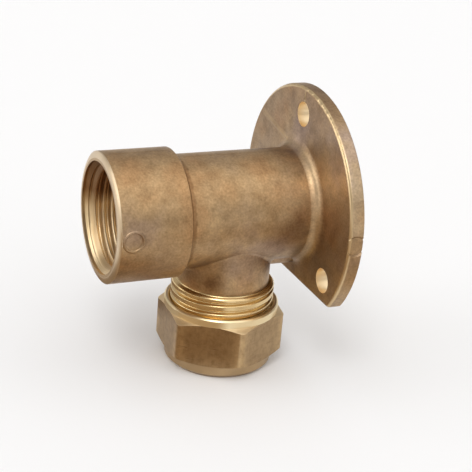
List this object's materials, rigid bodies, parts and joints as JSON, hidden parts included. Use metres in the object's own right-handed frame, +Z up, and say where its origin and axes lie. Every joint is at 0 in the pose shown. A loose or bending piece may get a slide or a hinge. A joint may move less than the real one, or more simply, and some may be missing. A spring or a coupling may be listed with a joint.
{
  "type": "wall plate elbow",
  "caption": "Brass pipe elbow with a round wall flange trimmed flat below, a female threaded socket in front and a compression nut on its downward branch.",
  "frame": {"origin": "centre of the flange's back face, on the axis of the threaded socket", "axes": "+Y into the wall, -Y out of the socket's mouth, +Z up, -Z along the branch with the compression nut"},
  "size_m": [0.0476, 0.0444, 0.0567],
  "materials": {
    "forged_brass": "sand-blasted forging, satin",
    "turned_brass": "turned, bright",
    "nut_brass": "drawn hexagon bar with turned ends, satin"
  },
  "bodies": {
    "elbow": {"elbow_body": "forged_brass"},
    "ring": {"compression_ring": "turned_brass"},
    "nut": {"compression_nut": "nut_brass"}
  },
  "joints": [
    {"name": "ring_travel", "type": "slide", "parent": "elbow", "child": "ring", "axis": [0, 0, 1], "range_m": [-0.00591, 0]},
    {"name": "nut_turn", "type": "hinge", "parent": "ring", "child": "nut", "pos_m": [0, -0.0175, -0.026], "axis": [0, 0, 1], "range_deg": [-1170, 0]}
  ],
  "couplings": [
    {"joint": "ring_travel", "follows": "nut_turn", "m_per_rad": 0.00028871}
  ]
}
